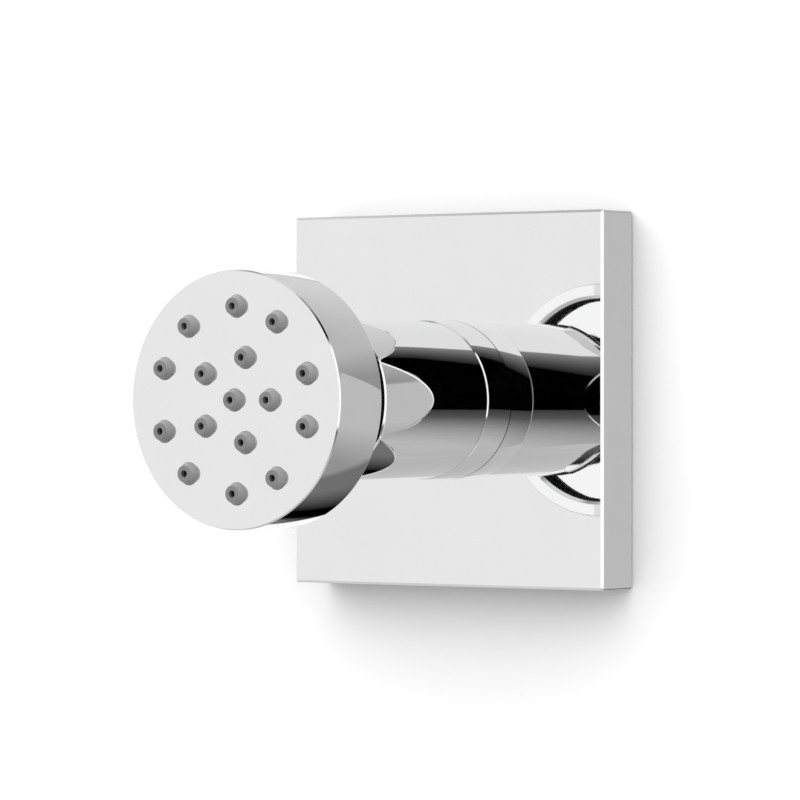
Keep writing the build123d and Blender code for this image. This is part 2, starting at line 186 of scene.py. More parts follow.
# ------------------------------------------------------------------ node helpers
class Tree:
    """Small helper to write shader nodes."""

    def __init__(self, tree):
        self.t = tree
        tree.nodes.clear()

    def new(self, kind, **props):
        nd = self.t.nodes.new(kind)
        for k, v in props.items():
            setattr(nd, k, v)
        return nd

    def put(self, sock, v):
        if isinstance(v, bpy.types.NodeSocket):
            self.t.links.new(v, sock)
        else:
            sock.default_value = v

    def math(self, op, a, b=0.0, c=0.0):
        nd = self.new("ShaderNodeMath", operation=op)
        for s, v in zip(nd.inputs, (a, b, c)):
            self.put(s, v)
        return nd.outputs[0]

    def ramp(self, x, lo, hi, a=0.0, b=1.0, smooth=True):
        """a below lo, b above hi."""
        nd = self.new("ShaderNodeMapRange",
                      interpolation_type="SMOOTHSTEP" if smooth else "LINEAR", clamp=True)
        for s, v in zip(nd.inputs, (x, lo, hi, a, b)):
            self.put(s, v)
        return nd.outputs[0]

    def mix(self, f, a, b):
        nd = self.new("ShaderNodeMix", data_type="FLOAT", clamp_factor=True)
        for s, v in zip(nd.inputs[:1] + nd.inputs[2:4], (f, a, b)):
            self.put(s, v)
        return nd.outputs[0]

    def noise(self, co, scale, detail=3.0, rough=0.5):
        nd = self.new("ShaderNodeTexNoise")
        self.put(nd.inputs["Vector"], co)
        nd.inputs["Scale"].default_value = scale
        nd.inputs["Detail"].default_value = detail
        nd.inputs["Roughness"].default_value = rough
        return nd.outputs[0]

    def colour(self, f, stops):
        nd = self.new("ShaderNodeValToRGB")
        el = nd.color_ramp.elements
        while len(el) < len(stops):
            el.new(0.5)
        for e, (p, c) in zip(el, stops):
            e.position, e.color = p, (*c, 1.0)
        self.put(nd.inputs[0], f)
        return nd.outputs[0]

    def bump(self, height, strength, dist):
        nd = self.new("ShaderNodeBump")
        nd.inputs["Strength"].default_value = strength
        nd.inputs["Distance"].default_value = dist
        self.put(nd.inputs["Height"], height)
        return nd.outputs[0]


def material(name):
    m = bpy.data.materials.new(name)
    m.use_nodes = True
    t = Tree(m.node_tree)
    out = t.new("ShaderNodeOutputMaterial")
    bs = t.new("ShaderNodeBsdfPrincipled")
    t.t.links.new(bs.outputs[0], out.inputs[0])
    co = t.new("ShaderNodeTexCoord").outputs["Object"]
    return m, t, bs, co


def chrome(name, low=0.010, high=0.032):
    """Mirror chrome: even colour, gloss that varies a little where it has been wiped."""
    m, t, bs, co = material(name)
    bs.inputs["Metallic"].default_value = 1.0
    veil = t.noise(co, 90.0, 4.0, 0.55)
    fine = t.noise(co, 1500.0, 2.0, 0.5)
    t.put(bs.inputs["Base Color"], t.colour(veil, [(0.25, (0.938, 0.940, 0.943)),
                                                   (0.75, (0.958, 0.959, 0.961))]))
    both = t.math("MULTIPLY_ADD", fine, 0.3, t.math("MULTIPLY", veil, 0.7))
    t.put(bs.inputs["Roughness"], t.ramp(both, 0.30, 0.70, low, high))
    return m


def brass(name):
    m, t, bs, co = material(name)
    bs.inputs["Metallic"].default_value = 1.0
    stain = t.noise(co, 160.0, 4.0, 0.6)
    t.put(bs.inputs["Base Color"], t.colour(stain, [(0.2, (0.50, 0.35, 0.13)), (0.5, (0.66, 0.48, 0.20)),
                                                    (0.8, (0.74, 0.56, 0.27))]))
    t.put(bs.inputs["Roughness"], t.ramp(t.noise(co, 700.0), 0.3, 0.7, 0.22, 0.36))
    t.put(bs.inputs["Normal"], t.bump(t.noise(co, 2600.0, 2.0), 0.15, 0.00002))
    return m


def rubber(name, dark, light, low, high, grain=1800.0, depth=0.00003, strength=0.25, painted_lit_flank=None):
    """Moulded rubber or plastic. When the paler second colour is given, faces that slope back from the front take it.
    This is painted light: the sides are shown more brightly lit than the front.
    """
    m, t, bs, co = material(name)
    n = t.noise(co, 220.0, 4.0, 0.55)
    body = t.colour(n, [(0.25, dark), (0.75, light)])
    if painted_lit_flank is not None:
        # painted light: faces sloping back from the front are coloured paler, as if lit more strongly from the side
        sep = t.new("ShaderNodeSeparateXYZ")
        t.put(sep.inputs[0], t.new("ShaderNodeTexCoord").outputs["Normal"])
        ahead = t.math("MULTIPLY", sep.outputs[1], -1.0)
        mixer = t.new("ShaderNodeMix", data_type="RGBA")
        t.put(mixer.inputs[0], t.math("MULTIPLY", t.ramp(ahead, 0.10, 0.25), t.ramp(ahead, 0.40, 0.95, 1.0, 0.0)))
        t.put(mixer.inputs[6], body)
        t.put(mixer.inputs[7], t.colour(n, [(0.25, painted_lit_flank[0]), (0.75, painted_lit_flank[1])]))
        body = mixer.outputs[2]
    t.put(bs.inputs["Base Color"], body)
    t.put(bs.inputs["Roughness"], t.ramp(t.noise(co, 900.0, 2.0), 0.3, 0.7, low, high))
    t.put(bs.inputs["Normal"], t.bump(t.noise(co, grain, 3.0, 0.6), strength, depth))
    return m


def steel(name):
    m, t, bs, co = material(name)
    bs.inputs["Metallic"].default_value = 1.0
    n = t.noise(co, 400.0, 5.0, 0.65)
    t.put(bs.inputs["Base Color"], t.colour(n, [(0.2, (0.50, 0.50, 0.51)), (0.8, (0.64, 0.64, 0.65))]))
    t.put(bs.inputs["Roughness"], t.ramp(n, 0.3, 0.7, 0.20, 0.34))
    t.put(bs.inputs["Normal"], t.bump(t.noise(co, 3000.0, 2.0), 0.12, 0.00002))
    return m


def foam(name):
    m, t, bs, co = material(name)
    vor = t.new("ShaderNodeTexVoronoi", feature="F1")
    t.put(vor.inputs["Vector"], co)
    vor.inputs["Scale"].default_value = 1700.0
    cell = vor.outputs["Distance"]
    t.put(bs.inputs["Base Color"], t.colour(cell, [(0.1, (0.020, 0.020, 0.022)), (0.7, (0.075, 0.075, 0.080))]))
    bs.inputs["Roughness"].default_value = 0.95
    t.put(bs.inputs["Normal"], t.bump(cell, 0.6, 0.00012))
    return m


CHROME = chrome("chrome_mirror")
BRASS = brass("brass_turned")
# nozzle tips darker, their sloping sides paler: painted light standing in for stronger side light
SILICONE = rubber("silicone_grey", (0.150, 0.150, 0.152), (0.172, 0.172, 0.174), 0.30, 0.40, strength=0.08,
                  painted_lit_flank=((0.260, 0.260, 0.263), (0.292, 0.292, 0.295)))
SEAL = rubber("seal_black", (0.012, 0.012, 0.012), (0.024, 0.024, 0.025), 0.38, 0.55)
# near-black stand-in for shade in gaps and hollows: painted shade, not a part's own colour
PAINTED_SHADE_BLACK = rubber("painted_shade_black", (0.003, 0.003, 0.003), (0.006, 0.006, 0.006), 0.60, 0.80)
PAINTED_SHADE_BLACK.node_tree.nodes["Principled BSDF"].inputs["Specular IOR Level"].default_value = 0.12
ACETAL = rubber("acetal_white", (0.76, 0.76, 0.73), (0.83, 0.83, 0.81), 0.30, 0.42, 900.0, 0.00002, 0.12)
STEEL = steel("steel_rolled")
FOAM = foam("foam_dark")

for node, mat in (
    ("plate_o_ring", SEAL), ("inlet_washer", SEAL), ("regulator_o_ring", SEAL), ("sleeve_o_ring", SEAL),
    ("seat_o_ring", SEAL), ("ball_seal", SEAL), ("stem_washer", SEAL), ("cover_o_ring", SEAL),
    ("flow_regulator", ACETAL), ("front_ball_seat", ACETAL), ("rear_ball_seat", ACETAL), ("flow_plate", ACETAL),
    ("strainer_screen", STEEL), ("disc_spring", STEEL), ("thrust_washer", BRASS), ("nozzle_mat", SILICONE),
    ("back_cover", CHROME),
):
    ob = frame["nodes"][node]
    ob.data.materials.clear()
    ob.data.materials.append(mat)


def stands_for(ob, node, body):
    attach(ob, body)
    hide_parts(node)
    return ob


# ------------------------------------------------------------------ wall plate
def square_loop(half, corner, side=10, bend=6):
    """Rounded square, counter-clockwise in (x, z) from +X: points and outward normals."""
    out = []
    for q in range(4):
        a0 = q * math.pi / 2
        ca, sa = math.cos(a0), math.sin(a0)
        flat = half - corner
        local = [((half, -flat + 2 * flat * i / side), (1.0, 0.0)) for i in range(side + 1)]
        for i in range(1, bend):
            t = math.pi / 2 * i / bend
            local.append(((flat + corner * math.cos(t), flat + corner * math.sin(t)), (math.cos(t), math.sin(t))))
        for (x, z), (nx, nz) in local:
            out.append(((x * ca - z * sa, x * sa + z * ca), (nx * ca - nz * sa, nx * sa + nz * ca)))
    return out


def loops_mesh(name, loops, mats):
    """Closed band of loops; each loop is (points 3-D, normals before it, normals after it)."""
    n = len(loops[0][0])
    verts, faces, normals = [], [], []
    for pts, _, _ in loops:
        verts += pts
    m = len(loops)
    for k in range(m):
        k2 = (k + 1) % m
        for j in range(n):
            j2 = (j + 1) % n
            faces.append((k * n + j, k2 * n + j, k2 * n + j2, k * n + j2))
            normals += [loops[k][2][j], loops[k2][1][j], loops[k2][1][j2], loops[k][2][j2]]
    return make_object(name, verts, faces, normals, mats)


def plate_mesh():
    half = PLATE_W / 2
    fr = (0.0, -1.0, 0.0)
    bk = (0.0, 1.0, 0.0)
    loops = []

    def square(inset, corner, y, nb, na):
        lp = square_loop(half - inset, corner)
        pts = [(x, y, z) for (x, z), _ in lp]

        def norm(mode):
            if isinstance(mode, tuple):
                return [mode] * len(lp)
            return [(nx * mode[0], mode[1], nz * mode[0]) for _, (nx, nz) in lp]
        loops.append((pts, norm(nb), norm(na)))

    def circle(r, y, nb, na):
        lp = square_loop(half - 3.0, 1.0)
        d = [Vector(p).normalized() for p, _ in lp]
        pts = [(v.x * r, y, v.y * r) for v in d]

        def norm(mode):
            if isinstance(mode, tuple):
                return [mode] * len(d)
            return [(v.x * mode[0], mode[1], v.y * mode[0]) for v in d]
        loops.append((pts, norm(nb), norm(na)))

    # from the hole's front edge over the polished face, round the edge, to the wall
    circle(PLATE_HOLE, -PLATE_T, [-1.0, 0.0], fr)
    square(PLATE_EDGE, 0.0005, -PLATE_T, fr, [0.7071, -0.7071])
    square(0.0, PLATE_EDGE, -PLATE_T + PLATE_EDGE, [0.7071, -0.7071], [1.0, 0.0])
    square(0.0, PLATE_EDGE, -0.12, [1.0, 0.0], [0.7071, 0.7071])
    square(0.12, PLATE_EDGE, 0.0, [0.7071, 0.7071], bk)
    square(PLATE_WALL - 0.1, 1.1, 0.0, bk, [-0.7071, 0.7071])
    square(PLATE_WALL, 1.0, -0.1, [-0.7071, 0.7071], [-1.0, 0.0])
    inner = -(PLATE_T - PLATE_WALL)
    square(PLATE_WALL, 1.0, inner, [-1.0, 0.0], bk)
    circle(13.5, inner, bk, [1.0, 0.0])
    circle(13.5, -4.5, [1.0, 0.0], bk)
    circle(PLATE_HOLE, -4.5, bk, [-1.0, 0.0])
    return loops_mesh("wall_plate_shell", loops, [CHROME])


plate = stands_for(plate_mesh(), "wall_plate", "base")


# foam sealing frame in the plate's back, soft edges
def gasket_mesh():
    half = (PLATE_W - 2 * PLATE_WALL - 0.3) / 2
    inner = half - 5.0
    y0, y1 = -0.05, -(PLATE_T - PLATE_WALL) + 0.05
    loops = []

    def ring(h, corner, y, nr, ny):
        lp = square_loop(h, corner, side=24)
        ln = math.hypot(nr, ny)
        nn = [(nx * nr / ln, ny / ln, nz * nr / ln) for _, (nx, nz) in lp]
        loops.append(([(x, y, z) for (x, z), _ in lp], nn, nn))
    r = 0.6
    for cx, cy, sx, a0 in ((half - r, y1 + r, 1, -90), (half - r, y0 - r, 1, 0)):
        for i in range(5):
            a = math.radians(a0 + 90 * i / 4)
            ring(cx + r * math.cos(a), 1.0, cy + r * math.sin(a), math.cos(a), math.sin(a))
    for cx, cy, a0 in ((inner + r, y0 - r, 90), (inner + r, y1 + r, 180)):
        for i in range(5):
            a = math.radians(a0 + 90 * i / 4)
            ring(cx + r * math.cos(a), 1.5, cy + r * math.sin(a), math.cos(a), math.sin(a))
    return loops_mesh("plate_gasket_foam", loops, [FOAM])


gasket = stands_for(gasket_mesh(), "plate_gasket", "base")

# ------------------------------------------------------------------ base fitting, with its real pipe thread
PITCH, DEPTH = 1.814, 1.162


RING_AT = [RING_H - 0.17] + [0.10 + (RING_H - 0.27) * i / 8 for i in range(7, -1, -1)]


def swell(s):
    """Radius of the base ring, which grows a little towards its foot."""
    t = (s - 0.10) / (RING_H - 0.27)
    return FOOT_R - (FOOT_R - RING_R) * (0.26 * t + 0.74 * t * t)


def fitting_edges():
    outline = [
        (BORE_R, Y(SPIGOT_END)), (SPIGOT_R, Y(SPIGOT_END), 0.5), (SPIGOT_R, Y(14.4), 0.1), (8.75, Y(14.4), 0.1),
        (8.75, Y(12.6), 0.1), (SPIGOT_R, Y(12.6), 0.1), (SPIGOT_R, Y(RING_H), 0.05),
        (RING_R - 0.17, Y(RING_H)), *[(swell(s), Y(s)) for s in RING_AT],
        (FOOT_R - 0.25, Y(0.10)), (FOOT_R - 0.25, Y(0)), (11.95, Y(0)), (11.95, Y(0.75)), (10.85, Y(0.75)),
        (10.85, Y(0)), (PLATE_HOLE - 0.1, Y(0)), (PLATE_HOLE - 0.1, -3.0), (9.2, -2.4, 0.3), (9.2, -0.6, 0.3),
    ]
    thread_rows = int(THREAD_LEN / PITCH * 14)
    thread = [(THREAD_R, THREAD_LEN * i / thread_rows) for i in range(thread_rows + 1)]
    rest = [(THREAD_R - 1.0, THREAD_LEN + 1.0, 0.15), (INLET_R + 0.4, THREAD_LEN + 1.0, 0.1),
            (INLET_R, THREAD_LEN + 0.6, 0.1), (INLET_R, 1.5, 0.2), (BORE_R, 1.5, 0.2),
            (BORE_R, Y(SPIGOT_END - 8.0)), (BORE_R + 0.001, Y(SPIGOT_END - 8.0) - 0.001)]
    pts = list(reversed([(p[0], -p[1], *p[2:]) for p in (outline + thread + rest)]))
    # built with y reversed above so that the outline runs counter-clockwise; turned back here
    edges = [(Vector((p.x, -p.y)), Vector((n0.x, -n0.y)), Vector((q.x, -q.y)), Vector((n1.x, -n1.y)))
             for p, n0, q, n1 in profile(pts)]

    def eased(v):
        """Normal of the polished ring, eased towards its front edge."""
        return Vector((1.0, -0.010 - 0.0087 * (-v.y - PLATE_T))).normalized()
    on_ring = lambda v: v.x > RING_R - 1e-6 and Y(RING_H) < v.y < Y(0.09)
    return [(p, eased(p), q, eased(q)) if on_ring(p) and on_ring(q) else (p, n0, q, n1) for p, n0, q, n1 in edges]


def thread_radius(k, j, a, p):
    y = p.y
    if abs(p.x - THREAD_R) > 1e-6 or not 0.0 <= y <= THREAD_LEN + 1e-6:
        return None
    ph = (y / PITCH - a / (2 * math.pi)) % 1.0
    tri = abs(ph * 2 - 1)                        # 1 at the root, 0 at the crest
    v = min(max((tri - 0.16) / 0.68, 0.0), 1.0)  # flat-topped 55 degree form
    v = v * v * (3 - 2 * v) * 0.35 + v * 0.65
    fade = min(1.0, max(0.0, (THREAD_LEN - y) / 0.9)) if y > THREAD_LEN - 0.9 else 1.0
    fade = min(fade, max(0.0, y / 0.6)) if y < 0.6 else fade
    lead = THREAD_R - max(0.0, y - (THREAD_LEN - 0.4)) * 0.6
    return min(THREAD_R - DEPTH * v * fade, lead)


def fitting_mesh():
    edges = fitting_edges()
    seg = 120
    m = len(edges)
    ang = [2 * math.pi * j / seg for j in range(seg)]
    cs = [(math.cos(a), math.sin(a)) for a in ang]
    verts, is_thread, is_hex = [], [], []
    hex_y = Y(SPIGOT_END - 8.0)
    for k, e in enumerate(edges):
        th = abs(e[0].x - THREAD_R) < 1e-6 and 0.0 <= e[0].y <= THREAD_LEN + 1e-6
        hx = e[0].y < hex_y - 0.0005 and e[0].x < BORE_R + 0.01
        is_thread.append(th)
        is_hex.append(hx)
        for j in range(seg):
            r = e[0].x
            if th:
                r = thread_radius(k, j, ang[j], e[0])
            elif hx:
                w = (ang[j] % (math.pi / 3)) - math.pi / 6
                r = HEX_KEY / 2 / math.cos(w)
            verts.append((r * cs[j][0], e[0].y, r * cs[j][1]))
    P = lambda k, j: Vector(verts[(k % m) * seg + (j % seg)])
    faces, normals, index = [], [], []
    for k, e in enumerate(edges):
        k2 = (k + 1) % m
        for j in range(seg):
            j2 = (j + 1) % seg
            f = (k * seg + j, k * seg + j2, k2 * seg + j2, k2 * seg + j)
            faces.append(f)
            front = max(e[0].y, e[2].y) <= -PLATE_T + 0.001 and min(e[0].x, e[2].x) > SPIGOT_R - 0.01 \
                and max(e[0].x, e[2].x) > SPIGOT_R + 0.02
            index.append(0 if front else 1)
            if is_thread[k] and is_thread[k2]:
                for kk, jj in ((k, j), (k, j2), (k2, j2), (k2, j)):
                    du = P(min(kk + 1, m - 1), jj) - P(kk - 1, jj)
                    dv = P(kk, jj + 1) - P(kk, jj - 1)
                    nn = du.cross(dv)
                    radial = Vector((verts[kk * seg + jj][0], 0, verts[kk * seg + jj][2]))
                    if nn.dot(radial) < 0:
                        nn = -nn
                    normals.append(nn.normalized())
            elif is_thread[k] or is_thread[k2] or is_hex[k] or is_hex[k2]:
                a, b, c, d = (Vector(verts[i]) for i in f)
                fn = (c - a).cross(d - b).normalized()
                normals += [fn] * 4
            else:
                for nn, jj in ((e[1], j), (e[1], j2), (e[3], j2), (e[3], j)):
                    normals.append((nn.x * cs[jj][0], nn.y, nn.x * cs[jj][1]))
    return make_object("base_fitting_turned", verts, faces, normals, [CHROME, BRASS], index)


fitting = stands_for(fitting_mesh(), "base_fitting", "base")

# ------------------------------------------------------------------ scalloped sleeve
BACK_EDGE = 0.06
STEP, WIDE, SLOPE = 0.10, 0.23, 0.020          # bevel at a scallop's outline, and how much its face leans in


def petal_point(psi, s, kind):
    """Radius and normal (radial, axial towards the head, tangential) on a scallop's face."""
    xc = (BODY_R - STEP - PETAL_R2) - (s - kind[0]) * SLOPE
    r = xc * math.cos(psi) + math.sqrt(PETAL_R2 ** 2 - (xc * math.sin(psi)) ** 2)
    z = r * math.sin(psi) / 17.7                 # polished a little flatter than the cut
    return r, Vector((math.sqrt(1 - z * z), 0.055, z)).normalized()


def petal_edge(s, kind):
    """Half angle of a scallop's outline, and the outline's slope."""
    tip, a, b = kind
    h = math.sqrt(a * (s - tip) - b * (s - tip) ** 2)
    return math.asin(h / BODY_R), (a - 2 * b * (s - tip)) / (2 * h)


def sleeve_mesh():
    inside = [0.1 * i for i in range(1, 10)]
    outside = [i / 8 for i in range(1, 9)]
    last = SLEEVE_FRONT - RIM
    wanted = [(t + (last - t) * (i / 24) ** 2) for t in (BROAD[0], NARROW[0]) for i in range(1, 25)]
    stations = [SLEEVE_BACK + BACK_EDGE, 9.0, 12.0, 15.0, 18.0, 20.0, 21.0, BROAD[0], NARROW[0], last]
    for s in wanted:
        if all(abs(s - t) > 0.011 for t in stations):
            stations.append(s)
    stations.sort()
    tip_row = {kind: stations.index(kind[0]) for kind in (BROAD, NARROW)}

    def columns(s, kind, left, right):
        """Angles across one scallop with a tag: 0 face, 1 foot of the bevel, 2 top of the bevel, 3 sleeve."""
        edge = petal_edge(max(s, stations[tip_row[kind] + 1]), kind)[0]
        wide, thin = min(WIDE / BODY_R, edge * 0.4), 0.004 / BODY_R
        half = [((edge - 1.5 * wide) * f, 0) for f in inside]
        half += [(edge - 1.5 * wide, 0), (edge - wide, 0), (edge - wide + thin, 1), (edge - thin, 2), (edge, 3)]
        on_left = half + [(edge + (math.radians(left) - edge) * f, 3) for f in outside[:-1]]
        on_right = half + [(edge + (math.radians(right) - edge) * f, 3) for f in outside]
        return [(-p, t) for p, t in reversed(on_left)] + [(0.0, 0)] + on_right

    rows = []   # each row: list of (angle, r, y, normal)

    def outer(s):
        row = []
        for middle, kind, left, right in PETALS:
            base = math.radians(middle)
            cut = s > kind[0] + 1e-6
            for psi, tag in columns(s, kind, left, right):
                side = min(max((abs(math.degrees(psi)) - 6.0) / 13.0, 0.0), 1.0)
                ease = min(0.0025 * (s - SLEEVE_BACK), 0.044) * (0.45 + 0.55 * side * side * (3 - 2 * side))
                rr, nn = BODY_R, Vector((math.cos(psi), ease, math.sin(psi))).normalized()
                if cut and tag < 3:
                    r, pn = petal_point(psi, s, kind)
                    inward = Vector((0.0, petal_edge(s, kind)[1], -math.copysign(1.0, psi))).normalized()
                    inward = Vector((-inward.z * math.sin(psi), inward.y, inward.z * math.cos(psi)))
                    rr = BODY_R if tag == 2 else min(r, BODY_R - 0.02)
                    nn = pn if tag == 0 else Vector((math.cos(psi), 0.0, math.sin(psi))) * 0.766 + inward * 0.643
                row.append((base + psi, rr, s, nn, psi, base, tag, kind))
        return row

    for s in stations:
        rows.append(outer(s))
    lastrow = rows[-1]

    def world(n_local, base):
        """Local (radial at the scallop's middle, axial, tangential) to world."""
        c, sn = math.cos(base), math.sin(base)
        return Vector((n_local.x * c - n_local.z * sn, -n_local.y, n_local.x * sn + n_local.z * c))

    grid, norms_in, norms_out = [], [], []

    def push(pts, nb, na):
        grid.append(pts)
        norms_in.append(nb)
        norms_out.append(na)

    cols = [r[0] for r in rows[0]]
    n = len(cols)
    axial_back, axial_front = Vector((0, 1, 0)), Vector((0, -1, 0))

    def ring(r, s, nb, na, angles):
        pts = [(r * math.cos(a), Y(s), r * math.sin(a)) for a in angles]
        mk = lambda m: [Vector((m[0] * math.cos(a), m[1], m[0] * math.sin(a))) for a in angles]
        push(pts, mk(nb), mk(na))

    # back face, small rounding, side with the scallops, rounded rim, front face, bore
    ring(SLEEVE_BORE + 0.3, SLEEVE_BACK, (-0.7071, 0.7071), (0, 1), cols)
    for i in range(5):
        a = math.pi / 2 * i / 4
        ring(BODY_R - BACK_EDGE + BACK_EDGE * math.sin(a), SLEEVE_BACK + BACK_EDGE * (1 - math.cos(a)),
             (math.sin(a), math.cos(a)), (math.sin(a), math.cos(a)), cols)
    for k, row in enumerate(rows[1:], 1):
        pts = [(r * math.cos(a), Y(s), r * math.sin(a)) for a, r, s, *_ in row]
        nn = [world(v[3], v[5]) for v in row]
        tip_n = [world(Vector((math.cos(v[4]) * 0.766, 0.643, math.sin(v[4]) * 0.766)), v[5]) for v in row]
        # the bevel at a scallop's tip
        before = [t if v[6] < 3 and k == tip_row[v[7]] + 1 else w for v, w, t in zip(row, nn, tip_n)]
        after = [t if v[6] < 3 and k == tip_row[v[7]] else w for v, w, t in zip(row, nn, tip_n)]
        push(pts, before, after)
    edge_cols = [v[0] for v in lastrow]
    for i in range(1, 7):
        t = math.pi / 2 * i / 6
        pts, nn = [], []
        for a, r, s, nl, psi, base, *_ in lastrow:
            rr, ss = r - RIM * (1 - math.cos(t)), s + RIM * math.sin(t)
            pts.append((rr * math.cos(a), Y(ss), rr * math.sin(a)))
            lean = math.radians(40) + 0.10 * t
            nn.append((world(nl, base) * math.cos(lean) + axial_front * math.sin(lean)).normalized())
        push(pts, nn, nn if i < 4 else [axial_front] * n)
    rim_end = len(grid) - 3
    ring(MOUTH_R + 0.12, SLEEVE_FRONT, (0, -1), (-0.7071, -0.7071), edge_cols)
    ring(MOUTH_R, SLEEVE_FRONT - 0.12, (-0.7071, -0.7071), (-1, 0), edge_cols)
    ring(MOUTH_R, MOUTH_BACK, (-1, 0), (0, -1), edge_cols)
    ring(SLEEVE_BORE, MOUTH_BACK, (0, -1), (-1, 0), edge_cols)
    ring(SLEEVE_BORE, SLEEVE_BACK + 0.3, (-1, 0), (-0.7071, 0.7071), cols)

    verts, faces, normals, index = [], [], [], []
    for g in grid:
        verts += g
    m = len(grid)
    for k in range(m):
        k2 = (k + 1) % m
        for j in range(n):
            j2 = (j + 1) % n
            faces.append((k * n + j, k * n + j2, k2 * n + j2, k2 * n + j))
            normals += [norms_out[k][j], norms_out[k][j2], norms_in[k2][j2], norms_in[k2][j]]
            index.append(1 if rim_end <= k < rim_end + 4 else 0)      # painted shade: the rim's front rounding, front face and mouth chamfer go near-black
    return make_object("swivel_sleeve_scalloped", verts, faces, normals, [CHROME, PAINTED_SHADE_BLACK], index)


sleeve = stands_for(sleeve_mesh(), "swivel_sleeve", "sleeve")


# ------------------------------------------------------------------ collar, ball, head
def turned(points):
    """Outline given in (radius, s, rounding), clockwise seen with s to the right, as lathe edges."""
    pts = [(p[0], -p[1], *p[2:]) for p in points]
    area = sum(pts[i - 1][0] * pts[i][1] - pts[i][0] * pts[i - 1][1] for i in range(len(pts)))
    if area < 0:
        pts.reverse()
    return [(Vector((p.x, p.y - PLATE_T)), n0, Vector((q.x, q.y - PLATE_T)), n1) for p, n0, q, n1 in profile(pts)]


def sphere_r(radius, s):
    return math.sqrt(radius ** 2 - (s - BALL_S) ** 2)


lip = [(sphere_r(BALL_R + 0.3, s), s) for s in (38.0, 37.64, 37.28, 36.92, 36.56, 36.2)]
collar_edges = turned([
    (10.0, 36.2), (10.0, 28.6), (MOUTH_R - 0.05, 28.6, 0.2), (MOUTH_R - 0.05, 33.2), (10.85, 33.5), (10.85, 34.4, 0.15),
    (COLLAR_R, 34.4, 0.2), (COLLAR_R, COLLAR_FRONT, 0.55), (lip[0][0] + 0.2, COLLAR_FRONT, 0.1), *lip,
])


# the groove's faces go near-black: painted shade for the dark gap between sleeve and head
def in_groove(e):
    return 1 if all(Y(34.45) < p.y < Y(33.15) and p.x > 10.5 for p in (e[0], e[2])) else 0


collar = stands_for(lathe("retaining_collar_turned", collar_edges, [CHROME, PAINTED_SHADE_BLACK], 192, pick=in_groove),
                    "retaining_collar", "sleeve")

tail_r = 3.6
tail_s = BALL_S - math.sqrt(BALL_R ** 2 - tail_r ** 2)
neck_s = BALL_S + math.sqrt(BALL_R ** 2 - NECK_R ** 2)
a_tail, a_neck = math.asin(tail_r / BALL_R), math.asin(NECK_R / BALL_R)
arc_n = 60
ball_arc = []
for i in range(arc_n + 1):
    a = math.pi - a_tail + (a_neck - (math.pi - a_tail)) * i / arc_n
    ball_arc.append((BALL_R * math.sin(a), BALL_S + BALL_R * math.cos(a)))


def stem_mesh():
    pts = [(STEM_BORE, 51.2), (STEM_BORE, tail_s + 0.6), *ball_arc[:-1], (NECK_R, neck_s, 0.8),
           (NECK_R, 44.3, 0.3), (6.2, 44.3), (7.0, 44.75), (7.0, 45.85), (6.2, 46.3), (4.8, 46.3), (4.8, 51.2, 0.5)]
    edges = turned(pts)
    smooth = []
    for p, n0, q, n1 in edges:   # the ball's facets get the ball's own normals
        on = lambda v: abs(math.hypot(v.x, v.y - Y(BALL_S)) - BALL_R) < 1e-4
        if on(p) and on(q):
            n0 = Vector((p.x, p.y - Y(BALL_S))).normalized()
            n1 = Vector((q.x, q.y - Y(BALL_S))).normalized()
        smooth.append((p, n0, q, n1))

    def hexed(k, j, a, p):
        if Y(46.31) < p.y < Y(44.29) and p.x > 5.9:
            w = (a % (math.pi / 3)) - math.pi / 6
            flat = HEX_AF / 2 / math.cos(w)
            return min(flat, HEX_AF / 2) if p.x < 6.5 else flat
        return None
    return lathe("ball_stem_turned", smooth, [CHROME], 192, rows=hexed)


stem = stands_for(stem_mesh(), "ball_stem", "ball")

SPOTS = [(0.0, 0.0)]
SPOTS += [(INNER_RING * math.cos(math.radians(72 * k)), INNER_RING * math.sin(math.radians(72 * k))) for k in range(5)]
SPOTS += [(OUTER_RING * math.cos(math.radians(72 * k + d)), OUTER_RING * math.sin(math.radians(72 * k + d)))
          for k in range(5) for d in (-OUTER_STEP, OUTER_STEP)]


